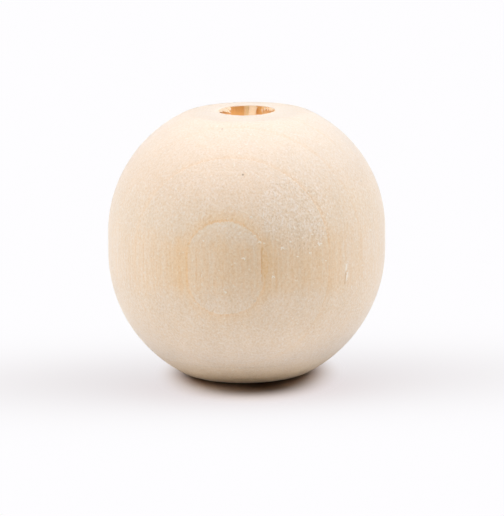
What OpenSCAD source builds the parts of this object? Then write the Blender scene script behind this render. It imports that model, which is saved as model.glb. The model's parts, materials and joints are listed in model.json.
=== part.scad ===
// A turned wooden bead: a full round body with a straight band at its girth, a flat
// end above and below, and one bore from end to end.
// +Z runs up the bore. The origin is the middle of the lower end, which the bead stands on.

/* [Body] */
// Width of the bead at its girth
bead_d = 25; // [18:0.5:30]
// Height of the bead from its lower end to its upper end
bead_h = 23.8; // [22:0.1:30]
// Height of the middle of the girth above the lower end
girth_z = 12.1; // [10:0.1:14]
// Height of the straight band round the girth
band_h = 1.7; // [0.2:0.1:5]

/* [Ends] */
// Width of the flat of the upper end
upper_flat_d = 9.3; // [7.5:0.1:15]
// Width of the flat of the lower end
lower_flat_d = 9.5; // [7.5:0.1:15]
// Radius that softens the edge of each end into the round of the body
end_round = 2.85; // [0.5:0.05:4]

/* [Bore] */
// Width of the bore
bore_d = 5; // [2:0.1:6.5]
// Radius of the worn edge at each mouth of the bore
mouth_round = 0.2; // [0.05:0.05:0.5]

/* [Hidden] */
$fn = 144;

bead_r = bead_d / 2;
bore_r = bore_d / 2;
// Heights of the two turned rounds, from the band to each end
lower_rise = girth_z - band_h / 2;
upper_rise = bead_h - girth_z - band_h / 2;
wood_colour = [0.94, 0.86, 0.73];

// Radius of the round that leaves the band straight along it and runs smoothly into a
// softened edge of radius `edge_r`, whose centre is `run` further in and `rise` further along
function round_r(run, rise, edge_r) =
    (run * run + rise * rise - edge_r * edge_r) / (2 * (run - edge_r));

// What is sanded off a corner: the wedge between two directions, outside the rounding circle.
// It is drawn about the circle's centre.
module corner_waste(r, from, to) {
    reach = 3 * r;
    difference() {
        polygon([[0, 0], reach * [cos(from), sin(from)], reach * [cos(to), sin(to)]]);
        circle(r = r);
    }
}

// Half of the solid section on one side of the band, drawn upwards from the band's edge
module round_section(rise, flat_d) {
    edge_x = flat_d / 2;
    edge_y = rise - end_round;
    r = round_r(bead_r - edge_x, edge_y, end_round);
    centre_x = bead_r - r;
    // Direction in which the round and the softened edge touch
    touch = atan2(edge_y, edge_x - centre_x);
    difference() {
        intersection() {
            translate([centre_x, 0]) circle(r = r);
            square([bead_r, rise]);
        }
        translate([edge_x, edge_y]) corner_waste(end_round, touch, 90);
    }
}

// Section of the turned blank before it is drilled
module blank_section() {
    translate([0, lower_rise]) {
        square([bead_r, band_h]);
        mirror([0, 1]) round_section(lower_rise, lower_flat_d);
    }
    translate([0, lower_rise + band_h]) round_section(upper_rise, upper_flat_d);
}

// Section of what the drill and wear take away: the bore and the edge of both its mouths
module bore_section() {
    square([bore_r, bead_h]);
    translate([bore_r + mouth_round, bead_h - mouth_round]) corner_waste(mouth_round, 90, 180);
    translate([bore_r + mouth_round, mouth_round]) corner_waste(mouth_round, 180, 270);
}

module bead() {
    color(wood_colour)
        rotate_extrude()
            difference() {
                blank_section();
                bore_section();
            }
}

bead();
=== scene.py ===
"""Turned wooden bead with a straight bore, standing on its lower end on a pale floor."""

import json
import math

import bpy
from mathutils import Matrix, Vector, noise


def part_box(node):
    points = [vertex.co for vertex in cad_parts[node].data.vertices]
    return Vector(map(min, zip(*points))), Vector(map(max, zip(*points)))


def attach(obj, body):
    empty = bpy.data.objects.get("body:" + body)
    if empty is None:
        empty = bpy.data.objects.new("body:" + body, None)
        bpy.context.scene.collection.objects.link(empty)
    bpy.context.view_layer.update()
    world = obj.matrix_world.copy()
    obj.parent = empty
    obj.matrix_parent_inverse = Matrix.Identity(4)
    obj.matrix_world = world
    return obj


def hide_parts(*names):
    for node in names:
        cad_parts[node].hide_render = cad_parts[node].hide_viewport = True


bl_info = {
    "name": "Turned Wooden Bead",
    "version": (1, 0, 0),
    "blender": (4, 5, 0),
    "location": "View3D > Sidebar > Bead",
    "description": "Models a turned wooden bead, its torn fibres and a plain stage",
    "category": "Object",
}

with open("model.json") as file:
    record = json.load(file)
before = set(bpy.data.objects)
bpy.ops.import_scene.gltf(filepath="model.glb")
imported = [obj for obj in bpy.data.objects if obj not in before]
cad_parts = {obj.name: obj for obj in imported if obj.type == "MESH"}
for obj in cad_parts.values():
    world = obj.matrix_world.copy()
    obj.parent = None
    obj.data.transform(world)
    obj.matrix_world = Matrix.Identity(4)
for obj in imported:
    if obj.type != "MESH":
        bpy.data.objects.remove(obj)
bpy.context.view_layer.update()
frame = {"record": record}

BODY = "root"
NODE = "bead"
MM = 0.001  # metres in a millimetre

# the bead's own sizes, as the frame gives them
NODE_LOW, NODE_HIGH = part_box(NODE)
BEAD_WIDE, BEAD_TALL = NODE_HIGH.x - NODE_LOW.x, NODE_HIGH.z - NODE_LOW.z
BORE = next(mount for mount in frame["record"]["mounts"] if mount["name"] == "bore")
BORE_WIDE = 2 * BORE["dims"]["r_mm"] * MM


# ------------------------ places on the bead, in millimetres

GIRTH = 12.1  # height of the middle of the girth
GIRTH_BAND = 1.7  # height of the straight band round it
UPPER_END = 23.8  # height of the upper end
BORE_WALL = 2.56  # nearer to the axis than this is the wall of the bore
BORE_FINE = 2.0  # how far down from the upper mouth the bore is made of finer faces
WELD = 0.001  # points nearer than this are one

# the upper mouth: how far it lies off the axis, the ring of points that is pushed there and its
# lowest height, and how far round it the wood follows
MOUTH_SHIFT = (0.06, 0.7)
MOUTH_RING = (2.3, 2.75)
MOUTH_LOW = 23.3
MOUTH_SPREAD = 1.9

# the layers of the wood: the face of the first ring, the space between rings, how far the layers
# are turned about the bore, and the direction across them
RING_FIRST = 12.0
RING_SPACING = 2.95
LAYER_TURN = math.radians(9.0)
LAYER_ACROSS = (0.156, 0.988)

# the crack and the nick: the middle of each and how far it reaches up and down
CRACK, CRACK_REACH = Vector((1.26, -12.42, 12.45)), 1.75
NICK, NICK_REACH = Vector((8.68, -8.95, 10.25)), 0.85
NICK_ACROSS = Vector((0.72, 0.69, 0.0))
# where the faces are cut finer: middle, reach across and reach up
FINER = ((CRACK, 0.45, 2.1), (NICK, 0.5, 1.1))

# depths of the relief: flutes of the bore, broad waves, grooves of the rings, crack and nick
FLUTE_DEEP, WAVE_DEEP, GROOVE_DEEP, SPLIT_DEEP = 0.03, 0.005, 0.014, 0.12
SPLIT_NEAR = 0.4  # the crack and the nick are felt this far to either side
# the chipped ring of each mouth: its radius and width, and how far from half the height of the
# bead the chips begin and over what height they deepen
CHIPPED_RING = (2.62, 0.17)
CHIPPED_FROM, CHIPPED_OVER = 11.2, 0.7
WEAR = 0.2  # depth of the deepest wear
# lines left by the lathe: height and depth
LATHE_LINES = ((2.3, 0.024), (2.72, 0.008), (3.35, 0.008), (19.55, 0.006), (20.3, 0.006))

# small dark marks: centre, radius and strength
DARK_MARKS = (
    ((-0.23, -10.16, 19.99), 0.05, 0.75),
    ((-2.00, -5.93, 23.33), 0.05, 0.5),
    ((10.20, -4.79, 18.18), 0.06, 0.35),
    ((-10.39, -4.70, 17.90), 0.05, 0.35),
    ((0.63, -12.30, 9.11), 0.08, 0.18),
)

# patches of raised grain: centre, radius and soft edge
RAISED_PATCHES = (
    ((4.4, -11.1, 16.6), 2.6, 1.6),
    ((-6.5, 9.6, 15.0), 2.2, 1.8),
    ((9.5, 6.0, 8.6), 1.8, 1.6),
)

# patches of dimmer wood: centre, radius, soft edge and strength
DIM_PATCHES = (
    ((3.0, -11.9, 10.6), 3.0, 4.0, 0.035),
    ((-1.0, -10.3, 4.6), 1.5, 4.5, 0.045),
)

# where late wood shows broad, running along the surface: centre, radius, soft edge and strength
AMBER_STAINS = (
    ((1.60, -12.38, 12.4), 0.18, 0.22, 0.72),
    ((-5.90, -11.02, 12.2), 0.20, 0.75, 0.42),
    ((6.2, 10.86, 12.6), 0.25, 0.6, 0.45),
)
STAIN_SQUEEZE = 0.2  # how much heights count in a stain, which makes it five times as high

# bands of the bore wall from its left side to its right: place, and level from dark 0 to light 1
BORE_BANDS = (
    (0.0, 0.4), (0.15, 0.15), (0.19, 0.0), (0.375, 0.0), (0.39, 0.5), (0.42, 0.85),
    (0.6, 0.9), (0.615, 0.0), (0.7, 0.0), (0.712, 0.5), (0.77, 0.4), (0.785, 0.35),
    (0.87, 0.35), (0.92, 0.4), (1.0, 0.4),
)
BANDS_LEFT, BANDS_WIDE = -1.96, 5.0  # where the bands begin, and how wide they are together

# loose fibres: root, tip, width, thickness and bow
TORN = (
    # across the left end of the upper mouth
    ((-2.90, 1.30, 23.75), (-2.02, 0.35, 23.70), 1.10, 0.05, 0.0),
    ((-2.50, 2.00, 23.75), (-1.62, 0.55, 23.66), 0.80, 0.05, 0.0),
    ((-2.20, 2.45, 23.75), (-1.30, 0.75, 23.50), 0.55, 0.05, 0.0),
    ((-1.80, 2.80, 23.75), (-1.30, 1.70, 23.60), 0.50, 0.05, 0.0),
    ((-2.55, 0.30, 23.60), (-2.00, -0.90, 23.00), 0.30, 0.05, 0.02),
    ((-2.30, 0.80, 23.55), (-1.70, -0.75, 23.10), 0.20, 0.05, 0.02),
    # two that lean from the back wall
    ((0.50, 3.20, 23.70), (0.42, 1.90, 22.35), 0.46, 0.05, 0.03),
    ((0.90, 3.12, 23.70), (0.50, 2.05, 22.50), 0.44, 0.05, 0.03),
    # a fringe that hangs at the right of the back wall
    ((1.46, 2.98, 23.72), (1.44, 2.50, 23.20), 0.26, 0.05, 0.03),
    ((1.74, 2.78, 23.72), (1.70, 2.25, 23.40), 0.30, 0.05, 0.03),
    ((2.00, 2.55, 23.72), (1.96, 2.00, 23.45), 0.32, 0.05, 0.03),
    ((2.24, 2.20, 23.72), (2.16, 1.60, 23.50), 0.34, 0.05, 0.03),
    ((2.44, 1.80, 23.72), (2.30, 1.15, 23.55), 0.34, 0.05, 0.03),
    # across the lower mouth
    ((2.45, 1.10, 0.10), (1.30, 0.10, 0.24), 0.28, 0.06, -0.05),
    ((-1.20, -2.35, 0.10), (0.05, -1.75, 0.28), 0.22, 0.05, -0.05),
)
MOUTH_ZONE = 3.5  # a sliver rooted further from the axis than this lies on the side

# tufts of small fibres raised on the side: angle from the front towards +X, height and size
TUFTS = (
    (14.0, 13.80, 1.1), (30.3, 13.78, 1.2), (-1.5, 13.05, 1.0), (10.3, 11.30, 0.9),
    (-8.8, 10.0, 0.8), (1.7, 16.60, 0.8), (5.0, 14.45, 0.9), (-17.8, 14.5, 0.7),
    (26.0, 13.10, 0.7), (20.5, 12.9, 0.6), (-2.8, 15.3, 0.5), (3.2, 15.0, 0.55),
    (6.8, 14.3, 0.6), (12.2, 14.5, 0.5), (17.6, 14.3, 0.6), (23.0, 14.5, 0.6),
    (27.4, 14.7, 0.5), (-5.0, 12.6, 0.45), (7.4, 16.1, 0.45), (33.5, 12.2, 0.5),
    (62.0, 13.9, 0.8), (98.0, 9.8, 0.9), (150.0, 13.9, 1.0), (171.0, 10.6, 0.8),
    (-128.0, 14.2, 1.0), (-163.0, 12.2, 0.8), (-74.0, 10.4, 0.8),
)
# the fibres of a tuft: tilt in degrees, length and shift round the bead, for a tuft of size 1
TUFT_FIBRES = ((-52.0, 0.22, 0.0), (8.0, 0.26, 0.4), (63.0, 0.20, -0.3))
TUFT_WIDE, TUFT_THICK = 0.15, 0.07  # of a fibre
TUFT_TWIST = 3.0  # degrees of tilt for each degree round the bead, so that no two tufts match
TUFT_RADIUS = 12.4  # where the run of a fibre round the bead is measured
# slivers at the nick: angle, height of the root, length and width
NICK_SLIVERS = ((44.6, 11.6, 0.80, 0.30), (45.2, 10.8, 0.85, 0.26))
NICK_THICK = 0.06

SLIVER_STEPS = 8  # lengths that the master sliver is cut into
# the round that stands for the skin where fibres root, and how far under it they start
SKIN_RADIUS, SKIN_UNDER = 12.48, 0.014

SMOOTH_ANGLE = math.radians(60.0)  # edges sharper than this stay sharp
WHITE = (1.0, 1.0, 1.0)


# ------------------------ settings


def length(name, text, value):
    """A length in metres as an add-on property."""
    return bpy.props.FloatProperty(
        name=name, description=text, default=value, min=0.0, max=1.0, precision=5, unit="LENGTH",
    )


def colour(name, text, value):
    """A linear colour as an add-on property."""
    return bpy.props.FloatVectorProperty(
        name=name, description=text, default=value, size=3, min=0.0, max=1.0, subtype="COLOR",
    )


def factor(name, text, value, low, high):
    """A plain number as an add-on property."""
    return bpy.props.FloatProperty(name=name, description=text, default=value, min=low, max=high)


class BeadShape(bpy.types.PropertyGroup):
    wide: length("Width", "Diameter of the bead at its girth", BEAD_WIDE)
    tall: length("Height", "Height of the bead from end to end", BEAD_TALL)
    girth: length("Girth height", "Height of the middle of the girth band", GIRTH * MM)
    band: length("Girth band", "Height of the straight band at the girth", GIRTH_BAND * MM)
    upper_flat: length("Upper flat", "Diameter of the flat upper end", 0.0093)
    lower_flat: length("Lower flat", "Diameter of the flat lower end", 0.0095)
    end_round: length("End rounding", "Radius that rounds each end into the side", 0.00285)
    bore: length("Bore", "Diameter of the bore", BORE_WIDE)
    mouth_round: length("Mouth rounding", "Radius of the worn mouth of the bore", 0.00009)
    inset: length("Sanding allowance", "How far the outside stays within the frame", 0.00002)
    lean: factor("Lean", "Lean of the bead per unit of height", 0.0129, -0.1, 0.1)
    turns: bpy.props.IntProperty(
        name="Turning steps", description="Faces round the bead", default=300, min=24, max=400,
    )


class BeadColours(bpy.types.PropertyGroup):
    cut: colour("Smooth wood", "Wood cut along its fibres", (0.852, 0.645, 0.44))
    fuzz: colour("Raised grain", "Wood cut across its fibres", (0.85, 0.69, 0.53))
    # also the colour of the painted sheen along the flanks and of the painted light towards +X
    ends: colour("End grain", "Wood towards the two ends", (0.87, 0.77, 0.68))
    amber: colour("Late wood", "Amber of the growth rings", (0.87, 0.578, 0.295))
    bore_dark: colour("Bore, dark", "Dark bands of the bore wall", (0.97, 0.54, 0.18))
    bore_light: colour("Bore, light", "Light bands of the bore wall", (0.99, 0.80, 0.50))
    # also the colour of the painted top light round the upper mouth and of the painted glints
    pale: colour("Loose fibre", "Fibres raised on the side", (0.96, 0.89, 0.80))
    torn: colour("Torn fibre", "Fibres torn at the mouths of the bore", (0.865, 0.60, 0.34))
    mark: colour("Marks", "Small dark marks", (0.36, 0.22, 0.14))


class StageSettings(bpy.types.PropertyGroup):
    floor: colour("Floor", "Colour of the floor", (0.94, 0.92, 0.91))
    paper: colour("Far floor", "Floor that the camera sees away from the bead", (0.99, 0.982, 0.999))
    # painted shade: a darker floor colour that only the camera and gloss rays see near the bead
    seen: colour("Floor near the bead", "Floor that shades near the bead", (0.8, 0.73, 0.69))
    # painted shade: the floor under the bead is made dark for the light it bounces onto the bead
    under: colour("Floor under the bead", "Floor right under the bead", (0.44, 0.26, 0.115))
    # painted shadow: the dark floor in front of the contact
    painted_contact_shadow: colour("Floor at the contact", "Dim floor in front of the contact", (0.085, 0.05, 0.03))
    # painted light: warm light the bead bounces onto the floor in front of it
    painted_bounce_colour: colour("Warm floor", "Tint the bead throws on the floor before it",
                  (0.905, 0.835, 0.82))
    # painted shadow: warm dark floor round the contact
    painted_rim_shadow: colour("Floor round the contact", "Warm floor round the contact", (0.62, 0.42, 0.30))
    # painted shadow: the grey of the band beside the bead
    band: colour("Grey band", "Grey band of the floor beside the bead", (0.80, 0.765, 0.775))
    world: factor("Room light", "Strength of the even room light", 0.17, 0.0, 5.0)
    top: factor("Top light", "Power of the light above", 1.64, 0.0, 50.0)
    left: factor("Left light", "Power of the light at the left", 1.74, 0.0, 50.0)
    right: factor("Right light", "Power of the light at the right", 1.60, 0.0, 50.0)
    front: factor("Front light", "Power of the light above the front", 0.3, 0.0, 50.0)


# ------------------------ node helpers

FLOAT, VECTOR = "NodeSocketFloat", "NodeSocketVector"


class Graph:
    """Adds and links shader nodes from left to right."""

    def __init__(self, tree):
        self.tree = tree
        self.count = 0

    def add(self, kind, **settings):
        """A new node, placed after the last one."""
        node = self.tree.nodes.new(kind)
        node.location = (180 * (self.count // 5), -190 * (self.count % 5))
        self.count += 1
        for key, value in settings.items():
            setattr(node, key, value)
        return node

    def put(self, socket, value):
        """Links value into a socket, or sets it there."""
        if isinstance(value, bpy.types.NodeSocket):
            self.tree.links.new(value, socket)
        elif value is not None:
            socket.default_value = (*value, 1.0) if socket.type == "RGBA" else value

    def fill(self, node, values):
        """Puts values into the named inputs of a node."""
        for key, value in values.items():
            self.put(node.inputs[key], value)
        return node.outputs

    def made(self, kind, *values, **settings):
        """The output of a new node, with values for its first inputs."""
        node = self.add(kind, **settings)
        for socket, value in zip(node.inputs, values):
            self.put(socket, value)
        return node.outputs[0]

    def math(self, operation, *values):
        """A Math node on one or two values."""
        return self.made("ShaderNodeMath", *values, operation=operation)

    def plus(self, a, b):
        """a + b"""
        return self.math("ADD", a, b)

    def less(self, a, b):
        """a - b"""
        return self.math("SUBTRACT", a, b)

    def times(self, a, b):
        """a * b"""
        return self.math("MULTIPLY", a, b)

    def over(self, a, b):
        """a / b"""
        return self.math("DIVIDE", a, b)

    def most(self, a, b):
        """The larger of a and b."""
        return self.math("MAXIMUM", a, b)

    def off(self, value, middle):
        """How far a value lies from a middle, to either side."""
        return self.math("ABSOLUTE", self.less(value, middle))

    def vector(self, operation, a, b=None):
        """A Vector Math node on one or two vectors."""
        node = self.add("ShaderNodeVectorMath", operation=operation)
        self.put(node.inputs[0], a)
        self.put(node.inputs[1], b)
        return node.outputs["Value" if operation in ("LENGTH", "DISTANCE") else 0]

    def scaled(self, vector, amount):
        """A vector times an amount."""
        node = self.add("ShaderNodeVectorMath", operation="SCALE")
        return self.fill(node, {"Vector": vector, "Scale": amount})[0]

    def combine(self, x, y, z):
        """A vector of three values."""
        return self.made("ShaderNodeCombineXYZ", x, y, z)

    def separate(self, vector):
        """The three values of a vector."""
        return self.fill(self.add("ShaderNodeSeparateXYZ"), {"Vector": vector})

    def noise(self, vector, scale, detail, rough=0.5):
        """Soft noise about 0.5."""
        node = self.add("ShaderNodeTexNoise", noise_dimensions="3D", normalize=True)
        return self.fill(node, {"Vector": vector, "Scale": scale, "Detail": detail,
                                "Roughness": rough})[0]

    def step(self, value, low, high, to_low=0.0, to_high=1.0):
        """Moves value smoothly from one range into another."""
        return self.made("ShaderNodeMapRange", value, low, high, to_low, to_high,
                         interpolation_type="SMOOTHSTEP")

    def mix(self, amount, a, b):
        """Colour a, moved towards colour b by an amount."""
        node = self.add("ShaderNodeMix", data_type="RGBA", blend_type="MIX")
        self.put(node.inputs[0], amount)
        self.put(node.inputs[6], a)
        self.put(node.inputs[7], b)
        return node.outputs[2]

    def ramp(self, value, stops):
        """A grey level that runs straight from stop to stop."""
        node = self.add("ShaderNodeValToRGB")
        node.color_ramp.interpolation = "LINEAR"
        while len(node.color_ramp.elements) < len(stops):
            node.color_ramp.elements.new(0.5)
        for element, (place, level) in zip(node.color_ramp.elements, stops):
            element.position = place
            element.color = (level, level, level, 1.0)
        self.put(node.inputs[0], value)
        return node.outputs[0]

    def group(self, tree, **values):
        """The outputs of a shared group, with values for its inputs."""
        return self.fill(self.add("ShaderNodeGroup", node_tree=tree), values)

    def mapped(self, vector, **values):
        """A vector through a Mapping node with the given Scale or Rotation."""
        return self.fill(self.add("ShaderNodeMapping"), dict(values, Vector=vector))[0]

    def spot(self, place, centre, radius, soft):
        """A soft round spot on a place."""
        return self.step(self.vector("DISTANCE", place, centre), radius, radius + soft, 1.0, 0.0)


def new_material(name):
    """An empty material, and the graph of its nodes."""
    material = bpy.data.materials.new(name)
    material.use_nodes = True
    material.node_tree.nodes.clear()
    return material, Graph(material.node_tree)


def new_group(name, inputs, outputs):
    """An empty shader group with named sockets, and its graph and its two ends."""
    tree = bpy.data.node_groups.new(name, "ShaderNodeTree")
    for label, kind, default in inputs:
        socket = tree.interface.new_socket(label, in_out="INPUT", socket_type=kind)
        if default is not None:
            socket.default_value = default
    for label in outputs:
        tree.interface.new_socket(label, in_out="OUTPUT", socket_type=FLOAT)
    graph = Graph(tree)
    start = graph.add("NodeGroupInput")
    end = tree.nodes.new("NodeGroupOutput")
    end.location = (2400, 0)
    return tree, graph, start.outputs, end.inputs


# ------------------------ wood


def fibre_group(name):
    """Wood fibres that run along Z: streaks where cut along, grains where cut across."""
    tree, g, given, out = new_group(
        name,
        [("Place", VECTOR, None), ("Width", FLOAT, 0.16), ("Length", FLOAT, 3.2)],
        ["Streak", "Grain", "Tint", "Broad", "Fleck", "Gap"],
    )
    x, y, z = g.separate(given["Place"])
    across = g.over(1.0, given["Width"])
    along = g.over(1.0, given["Length"])
    place = g.combine(g.times(x, across), g.times(y, across), g.times(z, along))
    short = g.combine(g.times(x, across), g.times(y, across), g.times(z, g.times(across, 0.8)))
    g.put(out["Streak"], g.noise(place, 0.6, 3.0, 0.65))
    grain = g.noise(g.vector("ADD", short, (31.0, 7.0, 3.0)), 0.95, 2.0, 0.65)
    g.put(out["Grain"], grain)
    g.put(out["Tint"], g.noise(g.vector("ADD", short, (3.0, 57.0, 23.0)), 0.8, 2.0, 0.65))
    g.put(out["Broad"], g.noise(g.vector("ADD", place, (5.0, 61.0, 9.0)), 0.12, 2.0))
    loose = g.noise(g.vector("ADD", short, (83.0, 11.0, 2.0)), 0.62, 1.0)
    g.put(out["Fleck"], g.step(loose, 0.68, 0.74))
    g.put(out["Gap"], g.step(grain, 0.40, 0.26))
    return tree


def ring_group(name):
    """Growth rings as layers across the bead: an amber band with a pale lip at its edge."""
    tree, g, given, out = new_group(
        name,
        [("Place", VECTOR, None), ("Tooth", FLOAT, 0.5), ("First", FLOAT, RING_FIRST),
         ("Spacing", FLOAT, RING_SPACING), ("Tilt", FLOAT, 0.004), ("Serration", FLOAT, 0.2)],
        ["Amber", "Lip", "Line", "Share"],
    )
    x, y, _ = g.separate(given["Place"])
    tooth = g.times(g.less(given["Tooth"], 0.5), given["Serration"])
    down = g.plus(y, given["First"])
    tilt = g.times(g.times(x, given["Tilt"]), down)
    wave = g.less(g.noise(given["Place"], 0.22, 2.0), 0.5)
    depth = g.plus(g.less(down, tilt), g.plus(tooth, g.times(wave, 0.08)))
    count = g.over(depth, given["Spacing"])
    turn = g.math("FRACT", count)
    g.put(out["Amber"], g.ramp(turn, [(0.0, 1.0), (0.014, 1.0), (0.024, 0.62), (0.07, 0.48),
                                      (0.095, 0.22), (0.14, 0.08), (0.22, 0.02), (0.4, 0.0),
                                      (0.997, 0.0), (1.0, 0.9)]))
    g.put(out["Line"], g.ramp(turn, [(0.0, 1.0), (0.012, 0.9), (0.03, 0.1), (0.052, 0.35),
                                     (0.07, 0.0), (0.99, 0.0), (1.0, 0.9)]))
    g.put(out["Lip"], g.ramp(turn, [(0.0, 0.0), (0.93, 0.0), (0.965, 1.0), (0.985, 0.9),
                                    (0.995, 0.0)]))
    # the ring nearest the surface is strongest, and the deep ones differ from each other
    near = g.step(count, 0.7, 0.95, 1.0, 0.38)
    deep = g.step(count, 1.7, 1.95)
    other = g.noise(g.combine(g.math("FLOOR", count), 0.0, 0.0), 1.7, 0.0)
    other = g.less(g.times(other, 0.9), 1.0)
    g.put(out["Share"], g.times(near, g.plus(1.0, g.times(deep, other))))
    return tree


def shared_group(name, build):
    """A shader group that is built once and then used again."""
    return bpy.data.node_groups.get(name) or build(name)


class Wood:
    """Where a point of the wood lies, and how its fibres are cut there."""

    def __init__(self, g):
        here = g.add("ShaderNodeTexCoord").outputs["Object"]
        self.place = g.mapped(here, Scale=(1.0 / MM,) * 3)
        self.x, self.y, self.z = g.separate(self.place)
        layers = g.mapped(self.place, Rotation=(0.0, 0.0, LAYER_TURN))
        self.grain = g.group(shared_group("wood fibres", fibre_group), Place=layers)
        self.streak = g.less(self.grain["Streak"], 0.5)
        self.years = g.group(shared_group("growth rings", ring_group),
                             Place=layers, Tooth=self.grain["Streak"])
        # cut along the fibres at the girth and across them above and below it
        rise = g.off(self.z, GIRTH)
        patch = g.less(g.noise(self.place, 0.35, 3.0, 0.6), 0.5)
        self.across = g.step(g.plus(rise, g.times(patch, 3.2)), 1.4, 3.6)
        self.along = g.less(1.0, self.across)
        self.ends = g.step(rise, 4.5, 11.5)
        # patches of raised grain, with ragged edges
        raised = 0.0
        for centre, radius, soft in RAISED_PATCHES:
            raised = g.most(raised, g.spot(self.place, centre, radius, soft))
        ragged = g.less(g.noise(self.place, 0.9, 3.0, 0.65), 0.5)
        self.raised = g.step(g.plus(raised, g.times(ragged, 2.4)), 0.1, 1.1)


def plain_wood(g, wood, colours):
    """Smooth at the girth, paler where cut across the fibres, and with painted light round the upper
    mouth, towards +X on the ends and along the flanks.
    """
    base = g.mix(wood.across, colours.cut, colours.fuzz)
    # painted light: the ends are made paler towards +X, the right side
    towards = g.times(wood.ends, g.plus(0.56, g.times(wood.x, 0.018)))
    base = g.mix(g.plus(towards, g.times(wood.raised, 0.14)), base, colours.ends)
    # painted top light: the flat upper end is made paler round the mouth
    mouth = g.spot(wood.place, (0.0, 0.0, UPPER_END), 2.9, 3.0)
    base = g.mix(g.times(mouth, 0.45), base, colours.pale)
    # painted sheen: the wood along the left and right flanks is made paler
    painted_flank_sheen = g.times(g.step(g.math("ABSOLUTE", wood.x), 5.5, 12.5), wood.along)
    return g.mix(g.times(painted_flank_sheen, 0.35), base, colours.ends)


def ring_strength(g, wood):
    """How strongly the growth rings show: they come and go, and fade low down and far aside."""
    patch = g.noise(g.vector("ADD", wood.place, (12.0, 40.0, 3.0)), 0.2, 2.0)
    strength = g.times(g.step(patch, 0.32, 0.68, 0.7, 1.15), wood.years["Share"])
    for value, low, high, to_low, to_high in (
        (wood.z, 5.0, 13.0, 0.42, 1.0),
        (wood.x, 2.0, 7.0, 0.95, 1.35),
        (wood.x, -6.2, -4.0, 0.74, 1.0),
        (wood.x, 7.5, 8.3, 1.0, 0.6),
    ):
        strength = g.times(strength, g.step(value, low, high, to_low, to_high))
    return strength


def ringed_wood(g, wood, colours, base, strength):
    """Amber late wood with a pale lip, and the torn wood in the crack."""
    amber = g.times(g.times(wood.years["Amber"], strength), 0.85)
    tall = g.combine(wood.x, wood.y, g.times(wood.z, STAIN_SQUEEZE))
    for (x, y, z), radius, soft, share in AMBER_STAINS:
        stain = g.spot(tall, (x, y, z * STAIN_SQUEEZE), radius, soft)
        amber = g.most(amber, g.times(stain, share))
    base = g.mix(amber, base, colours.amber)
    lip = g.times(g.times(wood.years["Lip"], strength), 0.04)
    base = g.mix(lip, base, colours.pale)
    slit = g.times(g.step(g.off(wood.x, CRACK.x), 0.03, 0.10, 0.4, 0.0),
                   g.step(g.off(wood.z, CRACK.z), 1.3, CRACK_REACH, 1.0, 0.0))
    slit = g.times(slit, g.step(wood.y, -11.0, -10.0, 1.0, 0.0))
    return g.mix(slit, base, colours.amber)


def fibre_level(g, wood):
    """A factor about 1 by which the fibres make the wood lighter and darker, with painted shade at
    the foot and painted light towards -X.
    """
    bits = g.less(g.plus(0.285, g.times(wood.raised, 0.2)), g.times(wood.along, 0.05))
    bits = g.times(g.less(wood.grain["Grain"], 0.5), bits)
    bits = g.times(bits, g.less(1.0, g.times(wood.ends, 0.3)))
    broad = g.times(g.less(wood.grain["Broad"], 0.5), 0.08)
    for centre, radius, soft, share in DIM_PATCHES:
        broad = g.less(broad, g.times(g.spot(wood.place, centre, radius, soft), share))
    gaps_and_painted_shading = g.times(wood.grain["Gap"], g.plus(0.02, g.times(wood.raised, 0.04)))
    # painted shade dimming the foot, a fine line of the lathe low on one side, and painted light a
    # little paler towards -X
    gaps_and_painted_shading = g.plus(gaps_and_painted_shading, g.step(wood.z, 0.3, 1.3, 0.1, 0.0))
    line = g.times(g.step(g.off(wood.z, 2.26), 0.02, 0.09, 0.05, 0.0),
                   g.step(wood.x, 2.0, 3.4, 1.0, 0.0))
    gaps_and_painted_shading = g.plus(gaps_and_painted_shading, line)
    # painted light: the band is made paler towards -X and darker towards +X
    gaps_and_painted_shading = g.plus(gaps_and_painted_shading, g.times(g.step(wood.x, -8.0, 3.0, -0.017, 0.008), wood.along))
    depth = g.plus(0.02, g.times(wood.along, 0.04))
    return g.plus(g.plus(1.0, g.times(wood.streak, depth)), g.less(g.plus(bits, broad), gaps_and_painted_shading))


def fibre_hue(g, wood):
    """Factors for red, green and blue by which the fibres make the wood more and less yellow, with a
    painted warm shade at the foot.
    """
    bits = g.less(g.plus(0.72, g.times(wood.raised, 0.3)), g.times(wood.along, 0.12))
    tint = g.plus(g.times(g.less(wood.grain["Grain"], 0.5), bits),
                  g.times(g.less(wood.grain["Tint"], 0.5), 0.46))
    tint = g.plus(tint, g.times(wood.streak, g.plus(0.10, g.times(wood.along, 0.58))))
    tint = g.times(tint, g.less(1.0, g.times(wood.ends, 0.5)))
    # warmer on the shoulder, more on its left low down and on its right high up, and a painted warm
    # shade at the foot
    warm_tone_and_painted_shade = g.times(g.step(wood.z, 16.5, 20.0, 0.0, 0.04), g.step(wood.x, -1.0, 5.0, 1.0, 0.0))
    warm_tone_and_painted_shade = g.plus(warm_tone_and_painted_shade, g.times(g.step(wood.z, 20.3, 22.0, 0.0, 0.035),
                                g.step(wood.x, -1.0, 5.0)))
    warm_tone_and_painted_shade = g.plus(warm_tone_and_painted_shade, g.step(wood.z, 0.8, 3.2, 0.27, 0.0))
    warm_tone_and_painted_shade = g.plus(warm_tone_and_painted_shade, g.step(wood.z, 0.3, 1.5, 0.2, 0.0))
    tint = g.less(tint, warm_tone_and_painted_shade)
    # pinker above
    pink = g.times(g.step(wood.z, 15.5, 19.5, 0.0, 0.016), g.step(wood.x, 0.0, 5.0, 1.0, 0.5))
    return g.combine(g.plus(1.0, g.times(tint, 0.02)),
                     g.less(g.plus(1.0, g.times(tint, 0.37)), pink),
                     g.plus(1.0, tint))


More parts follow.
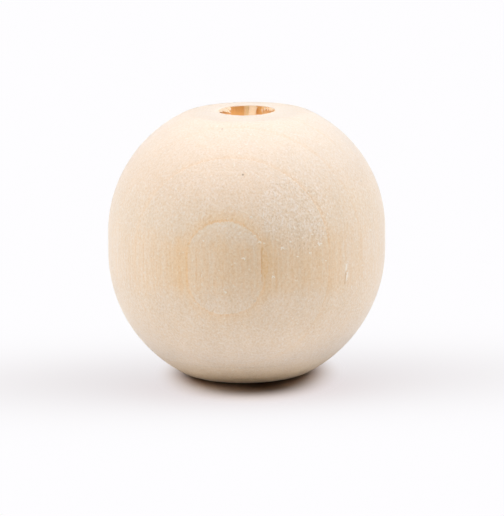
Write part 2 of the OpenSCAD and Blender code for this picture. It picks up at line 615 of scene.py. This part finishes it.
def marked_wood(g, wood, colours, base):
    """Pale flecks of raised fibre, partly painted glints, and small dark marks."""
    # painted glints: the pale flecks stand partly for raised fibre and partly for glints of light
    flecks = g.times(wood.grain["Fleck"], g.plus(0.38, g.times(wood.raised, 0.2)))
    base = g.mix(flecks, base, colours.pale)
    for centre, radius, share in DARK_MARKS:
        mark = g.times(g.spot(wood.place, centre, radius, 0.08), share)
        base = g.mix(mark, base, colours.mark)
    return base


def torn_wood(g, wood, colours, base):
    """Loose fibres: torn wood at the two mouths, and pale on the side."""
    mouths = g.most(g.step(wood.z, 22.2, 22.6), g.step(wood.z, 0.8, 0.6))
    return g.mix(0.75, base, g.mix(mouths, colours.pale, colours.torn))


def bored_wood(g, wood, colours, base):
    """The banded wall of the bore, and a painted glow of that wall near the upper mouth, standing in
    for light through the thin wood.
    """
    # the wall bends aside with the upper mouth, and ends at the two flat ends
    aside = g.step(wood.z, 21.4, 23.3)
    radius = g.vector("LENGTH", g.combine(
        g.less(wood.x, g.times(aside, MOUTH_SHIFT[0])),
        g.less(wood.y, g.times(aside, MOUTH_SHIFT[1])), 0.0))
    between = g.times(g.step(wood.z, 23.68, 23.76, 1.0, 0.0), g.step(wood.z, 0.04, 0.12))
    inside = g.times(g.step(radius, 2.7, 2.8, 1.0, 0.0), between)
    bands = g.ramp(g.over(g.less(wood.x, BANDS_LEFT), BANDS_WIDE), BORE_BANDS)
    bands = g.plus(bands, g.times(wood.streak, 0.4))
    wall = g.mix(g.math("MINIMUM", g.most(bands, 0.0), 1.0),
                 colours.bore_dark, colours.bore_light)
    # painted glow: the wall near the upper mouth emits a little of its own colour
    painted_glow = g.times(inside, g.step(wood.z, 19.0, 22.8))
    painted_glow = g.times(painted_glow, g.step(bands, 0.0, 0.9, 0.08, 0.15))
    return g.mix(inside, base, wall), g.scaled(wall, painted_glow)


def fibre_height(g, wood, strength):
    """Fine relief: streaks, raised grain and flecks, with a groove at each ring."""
    rough = g.step(wood.across, 0.0, 1.0, 0.6, 0.8)
    height = g.plus(g.times(wood.grain["Streak"], 0.5),
                    g.times(wood.grain["Grain"], g.plus(rough, wood.raised)))
    height = g.plus(height, g.times(wood.grain["Fleck"], 0.6))
    return g.less(height, g.times(g.times(wood.years["Line"], strength), 0.5))


def wood_material(name, colours, loose):
    """Pale unfinished wood with growth rings, fibres and raised grain; loose is torn fibre."""
    material, g = new_material(name)
    wood = Wood(g)
    strength = ring_strength(g, wood)
    base = ringed_wood(g, wood, colours, plain_wood(g, wood, colours), strength)
    base = g.vector("MULTIPLY", g.scaled(base, fibre_level(g, wood)), fibre_hue(g, wood))
    base = marked_wood(g, wood, colours, base)

    shader = g.add("ShaderNodeBsdfPrincipled")
    if loose:
        base = torn_wood(g, wood, colours, base)
    else:
        base, painted_glow = bored_wood(g, wood, colours, base)
        # the painted glow of the bore wall goes in as emission
        g.fill(shader, {"Emission Color": painted_glow, "Emission Strength": 1.0})
    bump = g.fill(g.add("ShaderNodeBump"), {
        "Strength": 0.6, "Distance": 0.045 * MM, "Height": fibre_height(g, wood, strength),
    })
    g.fill(shader, {
        "Base Color": base, "Roughness": g.plus(0.62, g.times(wood.across, 0.16)),
        "Specular IOR Level": 0.35, "Sheen Weight": 0.6, "Sheen Roughness": 0.5,
        "Normal": bump[0],
    })
    g.fill(g.add("ShaderNodeOutputMaterial"), {"Surface": shader.outputs[0]})
    return material


# ------------------------ turning


def deselect():
    """Leaves object mode with nothing selected."""
    if bpy.context.object and bpy.context.object.mode != "OBJECT":
        bpy.ops.object.mode_set(mode="OBJECT")
    bpy.ops.object.select_all(action="DESELECT")


def choose(piece):
    """Makes a piece the active one, with nothing else selected."""
    deselect()
    piece.select_set(True)
    bpy.context.view_layer.objects.active = piece


def start_point(name, place):
    """A single vertex in edit mode, from a small square merged at its middle."""
    deselect()
    bpy.ops.mesh.primitive_plane_add(size=MM, location=place)
    piece = bpy.context.object
    piece.name = piece.data.name = name
    bpy.ops.object.transform_apply(location=True, rotation=True, scale=True)
    bpy.ops.object.mode_set(mode="EDIT")
    bpy.ops.mesh.select_all(action="SELECT")
    bpy.ops.mesh.merge(type="CENTER")
    return piece


def draw_line(run, rise, steps):
    """Extrudes the selected vertex along a straight line, in the XZ plane."""
    for _ in range(steps):
        bpy.ops.mesh.extrude_region_move(
            TRANSFORM_OT_translate={"value": (run / steps, 0.0, rise / steps)}
        )


def draw_arc(centre, angle, steps):
    """Spins the selected vertex round a centre (x, z), anticlockwise seen from -Y."""
    bpy.ops.mesh.spin(
        steps=steps, angle=angle, center=(centre[0], 0.0, centre[1]), axis=(0.0, 1.0, 0.0)
    )


def weld():
    """Merges the points that lie on each other."""
    bpy.ops.mesh.select_all(action="SELECT")
    bpy.ops.mesh.remove_doubles(threshold=WELD * MM)


def face_outwards():
    """Turns every face outwards."""
    bpy.ops.mesh.select_all(action="SELECT")
    bpy.ops.mesh.normals_make_consistent(inside=False)


def give_wood(context, piece, name, loose):
    """Gives a piece its wood, and smooths all but its sharp edges."""
    piece.data.materials.append(wood_material(name, context.scene.bead_colours, loose))
    choose(piece)
    bpy.ops.object.shade_smooth_by_angle(angle=SMOOTH_ANGLE)


def tangent_radius(run, rise, edge):
    """Radius of the main round that meets an end rounding of radius edge."""
    return (run * run + rise * rise - edge * edge) / (2 * (run - edge))


def arc_angle(flat, centre, rise, edge):
    """Angle from level to where the main round meets the end rounding."""
    return math.atan2(rise - edge, flat - centre)


def turned_blank(shape):
    """The bead as one closed solid, spun from a section drawn line by line."""
    bead_r = shape.wide / 2 - shape.inset
    bore_r = shape.bore / 2
    mouth = shape.mouth_round
    edge = shape.end_round
    low_band, high_band = shape.girth - shape.band / 2, shape.girth + shape.band / 2
    high_rise = shape.tall - high_band
    low_flat, high_flat = shape.lower_flat / 2, shape.upper_flat / 2
    low_centre = bead_r - tangent_radius(bead_r - low_flat, low_band - edge, edge)
    high_centre = bead_r - tangent_radius(bead_r - high_flat, high_rise - edge, edge)
    low_turn = arc_angle(low_flat, low_centre, low_band, edge)
    high_turn = arc_angle(high_flat, high_centre, high_rise, edge)
    quarter = math.radians(90.0)
    # from the lower mouth outwards, up the side, in over the upper end and down the bore
    piece = start_point("turned_bead", (bore_r, 0.0, mouth))
    draw_arc((bore_r + mouth, mouth), quarter, 5)
    draw_line(low_flat - bore_r - mouth, 0.0, 10)
    draw_arc((low_flat, edge), quarter - low_turn, 12)
    draw_arc((low_centre, low_band), low_turn, 74)
    draw_line(0.0, shape.band, 10)
    draw_arc((high_centre, high_band), high_turn, 74)
    draw_arc((high_flat, shape.tall - edge), quarter - high_turn, 9)
    draw_line(bore_r + mouth - high_flat, 0.0, 16)
    draw_arc((bore_r + mouth, shape.tall - mouth), quarter, 6)
    draw_line(0.0, -BORE_FINE * MM, 14)
    draw_line(0.0, BORE_FINE * MM + 2 * mouth - shape.tall, 36)
    weld()
    bpy.ops.mesh.select_all(action="SELECT")
    bpy.ops.mesh.spin(steps=shape.turns, angle=math.tau, center=(0.0, 0.0, 0.0),
                      axis=(0.0, 0.0, 1.0))
    weld()
    face_outwards()
    for place, across, up in FINER:
        refine(piece, place, across, up)
    bpy.ops.object.mode_set(mode="OBJECT")
    shift_mouth(piece)
    wear(piece)
    lean = Matrix.Identity(4)
    lean[0][2] = shape.lean
    lean[0][3] = -shape.lean * shape.girth
    piece.data.transform(lean)
    return piece


def refine(piece, place, across, up):
    """Cuts the faces near a place finer, within a reach across and up, in millimetres."""
    bpy.ops.mesh.select_all(action="DESELECT")
    bpy.ops.object.mode_set(mode="OBJECT")
    for face in piece.data.polygons:
        off = face.center / MM - place
        face.select = math.hypot(off.x, off.y) < across and abs(off.z) < up
    bpy.ops.object.mode_set(mode="EDIT")
    bpy.ops.mesh.select_mode(type="FACE")
    bpy.ops.mesh.subdivide(number_cuts=3, quadcorner="INNERVERT")
    bpy.ops.mesh.select_mode(type="VERT")


def bump_at(value, middle, width):
    """A smooth bump of height 1 round a middle."""
    return math.exp(-(((value - middle) / width) ** 2))


def wear_at(p):
    """How deep the surface is worn at a place, both in millimetres."""
    radius = math.hypot(p.x, p.y)
    if radius < BORE_WALL:
        flute = noise.noise(Vector((p.x * 2.6, p.y * 2.6, p.z * 0.15)))
        return FLUTE_DEEP * (1.0 + flute)
    around = Vector((p.x, p.y, 0.0)) / radius
    ragged = noise.noise(around * 5.5 + Vector((0.0, 0.0, p.z)))
    mouth = bump_at(radius, *CHIPPED_RING) * max(0.0, abs(p.z - UPPER_END / 2) - CHIPPED_FROM)
    depth = mouth / CHIPPED_OVER * (0.02 + 0.12 * max(0.0, ragged))
    depth += WAVE_DEEP * (1.0 + noise.noise(Vector((p.x * 1.7, p.y * 1.7, p.z * 0.4))))
    down = RING_FIRST + p.x * LAYER_ACROSS[0] + p.y * LAYER_ACROSS[1]
    depth += GROOVE_DEEP * math.exp(-((down / RING_SPACING) % 1.0) / 0.05)
    for rise, deep in LATHE_LINES:
        depth += deep * bump_at(p.z, rise, 0.08) * (1.0 + noise.noise(around * 2.0))
    if p.y < 0.0:
        sway = 0.05 * noise.noise(Vector((0.0, 3.0, p.z * 1.3)))
        reach = abs(p.z - CRACK.z) / CRACK_REACH
        if abs(p.x - CRACK.x) < SPLIT_NEAR and reach < 1.0:
            depth += SPLIT_DEEP * bump_at(p.x, CRACK.x + 0.4 * sway, 0.06) * (1.0 - reach ** 4)
        across = (p - NICK).dot(NICK_ACROSS) + sway
        reach = abs(p.z - NICK.z) / NICK_REACH
        if abs(across) < SPLIT_NEAR and reach < 1.0:
            depth += SPLIT_DEEP * bump_at(across, 0.0, 0.07) * (1.0 - reach ** 2)
    return depth


def shift_mouth(piece):
    """Pushes the upper mouth off centre, as the drill left it."""
    deselect()
    for parts in (piece.data.polygons, piece.data.edges):
        for part in parts:
            part.select = False
    low, high = (radius * MM for radius in MOUTH_RING)
    for vertex in piece.data.vertices:
        far = math.hypot(vertex.co.x, vertex.co.y)
        vertex.select = low < far < high and vertex.co.z > MOUTH_LOW * MM
    choose(piece)
    bpy.ops.object.mode_set(mode="EDIT")
    bpy.ops.mesh.select_mode(type="VERT")
    bpy.ops.transform.translate(
        value=(MOUTH_SHIFT[0] * MM, MOUTH_SHIFT[1] * MM, 0.0), use_proportional_edit=True,
        proportional_edit_falloff="SMOOTH", proportional_size=MOUTH_SPREAD * MM,
    )
    bpy.ops.object.mode_set(mode="OBJECT")


def wear(piece):
    """Presses the worn places in along the normals."""
    group = piece.vertex_groups.new(name="wear")
    for vertex in piece.data.vertices:
        group.add([vertex.index], min(1.0, wear_at(vertex.co / MM) / WEAR), "REPLACE")
    press = piece.modifiers.new("wear", "DISPLACE")
    press.vertex_group = group.name
    press.mid_level = 0.0
    press.strength = -WEAR * MM
    choose(piece)
    bpy.ops.object.modifier_apply(modifier=press.name)
    piece.vertex_groups.clear()


class BEAD_OT_turn_bead(bpy.types.Operator):
    """Turn the bead from its section, drill it and give it its wood"""

    bl_idname = "bead.turn_bead"
    bl_label = "Turned bead"
    bl_options = {"REGISTER", "UNDO"}

    def execute(self, context):
        piece = turned_blank(context.scene.bead_shape)
        give_wood(context, piece, "pale wood", loose=False)
        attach(piece, BODY)
        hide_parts(NODE)
        return {"FINISHED"}


# ------------------------ loose fibres


def master_sliver():
    """One tapered sliver along X, 1 mm long, wide and thick at its root."""
    deselect()
    bpy.ops.mesh.primitive_cube_add(size=MM, location=(0.5 * MM, 0.0, 0.0))
    piece = bpy.context.object
    piece.name = piece.data.name = "sliver"
    bpy.ops.object.transform_apply(location=True)
    bpy.ops.object.mode_set(mode="EDIT")
    bpy.ops.mesh.select_mode(type="EDGE")
    bpy.ops.mesh.select_all(action="DESELECT")
    bpy.ops.object.mode_set(mode="OBJECT")
    for edge in piece.data.edges:
        a, b = (piece.data.vertices[i].co for i in edge.vertices)
        edge.select = abs(a.x - b.x) > 0.5 * MM
    bpy.ops.object.mode_set(mode="EDIT")
    bpy.ops.mesh.subdivide(number_cuts=SLIVER_STEPS - 1)
    for step in range(SLIVER_STEPS + 1):
        share = step / SLIVER_STEPS
        place = share * MM
        bpy.ops.mesh.select_all(action="DESELECT")
        bpy.ops.mesh.select_mode(type="VERT")
        bpy.ops.object.mode_set(mode="OBJECT")
        for vertex in piece.data.vertices:
            vertex.select = abs(vertex.co.x - place) < 0.02 * MM
        bpy.ops.object.mode_set(mode="EDIT")
        # it sways, and narrows and thins towards its tip
        wide = (1.0 - share) ** 0.7 * (1.0 - 0.25 * math.sin(9.0 * share)) + 0.05
        thick = 1.0 - 0.6 * share
        bpy.ops.transform.resize(value=(1.0, wide, thick), center_override=(place, 0.0, 0.0))
        bpy.ops.transform.translate(value=(0.0, 0.08 * math.sin(5.0 * share) * MM, 0.0))
    bpy.ops.mesh.select_all(action="SELECT")
    bpy.ops.mesh.bevel(offset=0.08 * MM, segments=2, affect="EDGES", clamp_overlap=True)
    face_outwards()
    bpy.ops.object.mode_set(mode="OBJECT")
    return piece


def lay_sliver(mesh, shape, root, tip, wide, thick, bow):
    """Lays a sliver from its root to its tip, and leans it with the bead."""
    root, tip = Vector(root), Vector(tip)
    run = tip - root
    # slivers over the end of the bead lie level, and the others lie flat to the wall or the side
    out = Vector((0.0, 0.0, 1.0))
    if abs(run.normalized().z) > 0.6 or math.hypot(root.x, root.y) > MOUTH_ZONE:
        out = Vector((root.x, root.y, 0.0)).normalized()
    side = out.cross(run).normalized()
    out = run.cross(side).normalized()
    for vertex in mesh.vertices:
        share = vertex.co.x / MM
        place = root + run * share + side * (vertex.co.y / MM * wide)
        place += out * (vertex.co.z / MM * thick + bow * 4.0 * share * (1.0 - share))
        place.x += shape.lean * (place.z - shape.girth / MM)
        vertex.co = place * MM


def skin_at(angle, rise):
    """A point just under the skin of the bead, at an angle from the front and a height."""
    turn = math.radians(angle)
    over = max(0.0, abs(rise - GIRTH) - GIRTH_BAND / 2)
    far = math.sqrt(SKIN_RADIUS ** 2 - over ** 2) - SKIN_UNDER
    return Vector((math.sin(turn) * far, -math.cos(turn) * far, rise))


def side_fibres():
    """Roots and tips of the fibres raised on the side, in tufts that cross each other."""
    found = []
    for angle, rise, size in TUFTS:
        for tilt, long, shift in TUFT_FIBRES:
            lean = math.radians(tilt + TUFT_TWIST * angle)
            start = angle + shift * size
            sideways = math.degrees(math.sin(lean) * long * size / TUFT_RADIUS)
            root = skin_at(start, rise)
            tip = skin_at(start + sideways, rise - math.cos(lean) * long * size)
            found.append((root, tip, TUFT_WIDE * size, TUFT_THICK, 0.0))
    for angle, rise, long, wide in NICK_SLIVERS:
        tip = skin_at(angle - 0.3, rise - long)
        found.append((skin_at(angle, rise), tip, wide, NICK_THICK, 0.0))
    return found


class BEAD_OT_torn_fibres(bpy.types.Operator):
    """Add the loose pale fibres that are torn up at the mouths of the bore and on the side"""

    bl_idname = "bead.torn_fibres"
    bl_label = "Torn fibres"
    bl_options = {"REGISTER", "UNDO"}

    def execute(self, context):
        shape = context.scene.bead_shape
        master = master_sliver()
        copies = []
        for sliver in (*TORN, *side_fibres()):
            copy = master.copy()
            copy.data = master.data.copy()
            context.scene.collection.objects.link(copy)
            lay_sliver(copy.data, shape, *sliver)
            copies.append(copy)
        bpy.data.objects.remove(master)
        deselect()
        for copy in copies:
            copy.select_set(True)
        context.view_layer.objects.active = copies[0]
        bpy.ops.object.join()
        piece = context.object
        piece.name = piece.data.name = "torn_fibres"
        give_wood(context, piece, "torn wood", loose=True)
        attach(piece, BODY)
        return {"FINISHED"}


# ------------------------ stage

# the camera: distance from the middle of the girth, height above level and roll
CAMERA_REACH = 0.400
CAMERA_RISE = math.radians(11.73)
CAMERA_ROLL = math.radians(-1.01)
# the lens, from the longer side of the picture and its focal length, both in pixels, and where the
# middle of the girth lies in the picture, in pixels right of and below the middle of the picture
PICTURE_TALL = 516.0
FOCAL_PIXELS = 4440.8
SENSOR = 36.0
AIM_OFFSET = (246.65 - 252.0, 239.24 - 258.0)
NEAREST, FARTHEST = 0.01, 20.0  # that the camera sees

# the lights: the setting that holds the power, place, width and depth
LIGHTS = (
    ("top", (0.0, 0.04, 0.55), 0.45, 0.45),
    ("left", (-0.4, 0.0, 0.45), 0.3, 0.3),
    ("right", (0.4, 0.0, 0.45), 0.3, 0.3),
    ("front", (0.0, -0.45, 0.5), 0.5, 0.4),
)
FLOOR_SIZE, FLOOR_BACK = 3.0, 0.6  # of the floor, and how far its middle lies behind the bead

# soft ovals on the floor, in millimetres: centre and reach, across and ahead
# painted shadow: a soft grey band on the floor beside the bead
PAINTED_SHADOW_BAND = ((-1.5, -3.5), (26.0, 11.1))
# painted contact shadow in front of the bead
PAINTED_CONTACT_OVAL = ((1.2, -6.1), (4.6, 4.2))
# painted bounce light: a warm tint on the floor before the bead
PAINTED_BOUNCE_OVAL = ((0.5, -7.5), (8.5, 5.5))
# rounder spots on the floor: how much narrower than deep, centre, radius and soft edge
SPOT_UNDER = (1.43, (0.0, -1.0, 0.0), 7.0, 5.4)
# painted shade under the bead, for the light the floor bounces
SPOT_SHADED = (1.3, (-0.8, 0.0, 0.0), 4.7, 3.0)
SPOT_PAINTED_RIM = (1.14, (0.0, 0.0, 0.0), 5.8, 3.2)


def area_light(name, place, target, wide, tall, power):
    """A soft rectangular light that points at a target."""
    deselect()
    bpy.ops.object.light_add(type="AREA", location=place)
    lamp = bpy.context.object
    lamp.name = name
    lamp.data.shape = "RECTANGLE"
    lamp.data.size, lamp.data.size_y = wide, tall
    lamp.data.energy = power
    lamp.rotation_euler = (Vector(target) - Vector(place)).to_track_quat("-Z", "Y").to_euler()


def even_room(scene, strength):
    """Even white light from all round."""
    world = bpy.data.worlds.new("room")
    scene.world = world
    world.use_nodes = True
    g = Graph(world.node_tree)
    world.node_tree.nodes.clear()
    light = g.fill(g.add("ShaderNodeBackground"), {"Color": WHITE, "Strength": strength})
    g.fill(g.add("ShaderNodeOutputWorld"), {"Surface": light[0]})


def set_camera(scene, target):
    """A long lens a little above the bead, in front of it."""
    back = Vector((0.0, -math.cos(CAMERA_RISE), math.sin(CAMERA_RISE)))
    deselect()
    bpy.ops.object.camera_add(location=target + back * CAMERA_REACH)
    camera = bpy.context.object
    camera.name = "camera"
    camera.rotation_mode = "QUATERNION"
    aim = (-back).to_track_quat("-Z", "Y")
    camera.rotation_quaternion = aim @ Matrix.Rotation(CAMERA_ROLL, 3, "Z").to_quaternion()
    camera.data.sensor_fit = "AUTO"
    camera.data.sensor_width = SENSOR
    camera.data.lens = FOCAL_PIXELS * SENSOR / PICTURE_TALL
    camera.data.shift_x = -AIM_OFFSET[0] / PICTURE_TALL
    camera.data.shift_y = AIM_OFFSET[1] / PICTURE_TALL
    camera.data.clip_start, camera.data.clip_end = NEAREST, FARTHEST
    scene.camera = camera


def floor_oval(g, x, y, centre, reach):
    """A soft oval on the floor, 1 at its centre."""
    across = g.over(g.less(x, centre[0]), reach[0])
    ahead = g.over(g.less(y, centre[1]), reach[1])
    squares = g.plus(g.times(across, across), g.times(ahead, ahead))
    return g.math("EXPONENT", g.times(squares, -1.0))


def floor_spot(g, place, narrower, centre, radius, soft):
    """A soft spot on the floor that is narrower than it is deep."""
    return g.spot(g.vector("MULTIPLY", place, (narrower, 1.0, 1.0)), centre, radius, soft)


def floor_material(stage):
    """A pale floor with painted shadows and painted bounce light near the bead, which runs to plain
    white away from it.
    """
    material, g = new_material("pale floor")
    place = g.scaled(g.add("ShaderNodeTexCoord").outputs["Object"], 1.0 / MM)
    x, y, _ = g.separate(place)
    path = g.add("ShaderNodeLightPath").outputs
    seen = g.most(path["Is Camera Ray"], path["Is Glossy Ray"])

    # the floor as it bounces onto the bead, with painted shade under the bead, and as the camera
    # sees it near the bead, with painted shadows
    bounce_floor_painted_shade = g.mix(floor_spot(g, place, *SPOT_SHADED), stage.floor, stage.under)
    # painted shadow: a warm dark ring of floor round the contact
    painted_rim_shadow = g.times(floor_spot(g, place, *SPOT_PAINTED_RIM), 0.75)
    near = g.mix(painted_rim_shadow, stage.seen, stage.painted_rim_shadow)
    # painted contact shadow: the floor in front of the contact is made almost black
    near = g.mix(floor_oval(g, x, y, *PAINTED_CONTACT_OVAL), near, stage.painted_contact_shadow)
    diffuse = g.fill(g.add("ShaderNodeBsdfPrincipled"), {
        "Base Color": g.mix(seen, bounce_floor_painted_shade, near), "Roughness": 0.8, "Specular IOR Level": 0.2,
    })

    # the floor as it is seen away from the bead, with a painted shadow band beside the bead and
    # painted bounce light before it
    sheet = g.mix(floor_oval(g, x, y, *PAINTED_SHADOW_BAND), stage.paper, stage.band)
    # painted bounce light: the paper is tinted warm in front of the bead
    painted_bounce_tint = g.mix(floor_oval(g, x, y, *PAINTED_BOUNCE_OVAL), WHITE, stage.painted_bounce_colour)
    painted_paper = g.vector("MULTIPLY", sheet, painted_bounce_tint)
    paper = g.fill(g.add("ShaderNodeEmission"), {"Color": painted_paper})

    away = g.times(seen, g.less(1.0, floor_spot(g, place, *SPOT_UNDER)))
    mixed = g.made("ShaderNodeMixShader", away, diffuse[0], paper[0])
    g.fill(g.add("ShaderNodeOutputMaterial"), {"Surface": mixed})
    return material


class BEAD_OT_stage(bpy.types.Operator):
    """Lay the floor, hang the lights and set up the camera"""

    bl_idname = "bead.stage"
    bl_label = "Floor, lights and camera"
    bl_options = {"REGISTER", "UNDO"}

    def execute(self, context):
        scene = context.scene
        stage = scene.bead_stage
        target = Vector((0.0, 0.0, scene.bead_shape.girth))

        deselect()
        bpy.ops.mesh.primitive_plane_add(size=FLOOR_SIZE, location=(0.0, FLOOR_BACK, 0.0))
        floor = context.object
        floor.name = floor.data.name = "floor"
        bpy.ops.object.transform_apply(location=True)
        floor.data.materials.append(floor_material(stage))

        for key, place, wide, tall in LIGHTS:
            area_light(key + " light", place, target, wide, tall, getattr(stage, key))
        even_room(scene, stage.world)
        set_camera(scene, target)
        scene.view_settings.view_transform = "Standard"
        return {"FINISHED"}


# ------------------------ the add-on


class BEAD_PT_panel(bpy.types.Panel):
    bl_label = "Turned wooden bead"
    bl_idname = "BEAD_PT_panel"
    bl_space_type = "VIEW_3D"
    bl_region_type = "UI"
    bl_category = "Bead"

    def draw(self, context):
        layout = self.layout
        for title, settings in (("Sizes", context.scene.bead_shape),
                                ("Colours", context.scene.bead_colours),
                                ("Stage", context.scene.bead_stage)):
            box = layout.box()
            box.label(text=title)
            for key in settings.bl_rna.properties.keys():
                if key not in ("rna_type", "name"):
                    box.prop(settings, key)
        for operator in OPERATORS:
            layout.operator(operator.bl_idname)


OPERATORS = (BEAD_OT_turn_bead, BEAD_OT_torn_fibres, BEAD_OT_stage)
CLASSES = (BeadShape, BeadColours, StageSettings, *OPERATORS, BEAD_PT_panel)
GROUPS = (("bead_shape", BeadShape), ("bead_colours", BeadColours), ("bead_stage", StageSettings))


def register():
    for item in CLASSES:
        bpy.utils.register_class(item)
    for name, group in GROUPS:
        setattr(bpy.types.Scene, name, bpy.props.PointerProperty(type=group))


def unregister():
    for name, _ in GROUPS:
        delattr(bpy.types.Scene, name)
    for item in reversed(CLASSES):
        bpy.utils.unregister_class(item)


def main():
    register()
    for operator in (bpy.ops.bead.turn_bead, bpy.ops.bead.torn_fibres, bpy.ops.bead.stage):
        if operator() != {"FINISHED"}:
            raise RuntimeError("a step of the bead did not finish")


if __name__ == "__main__":
    main()
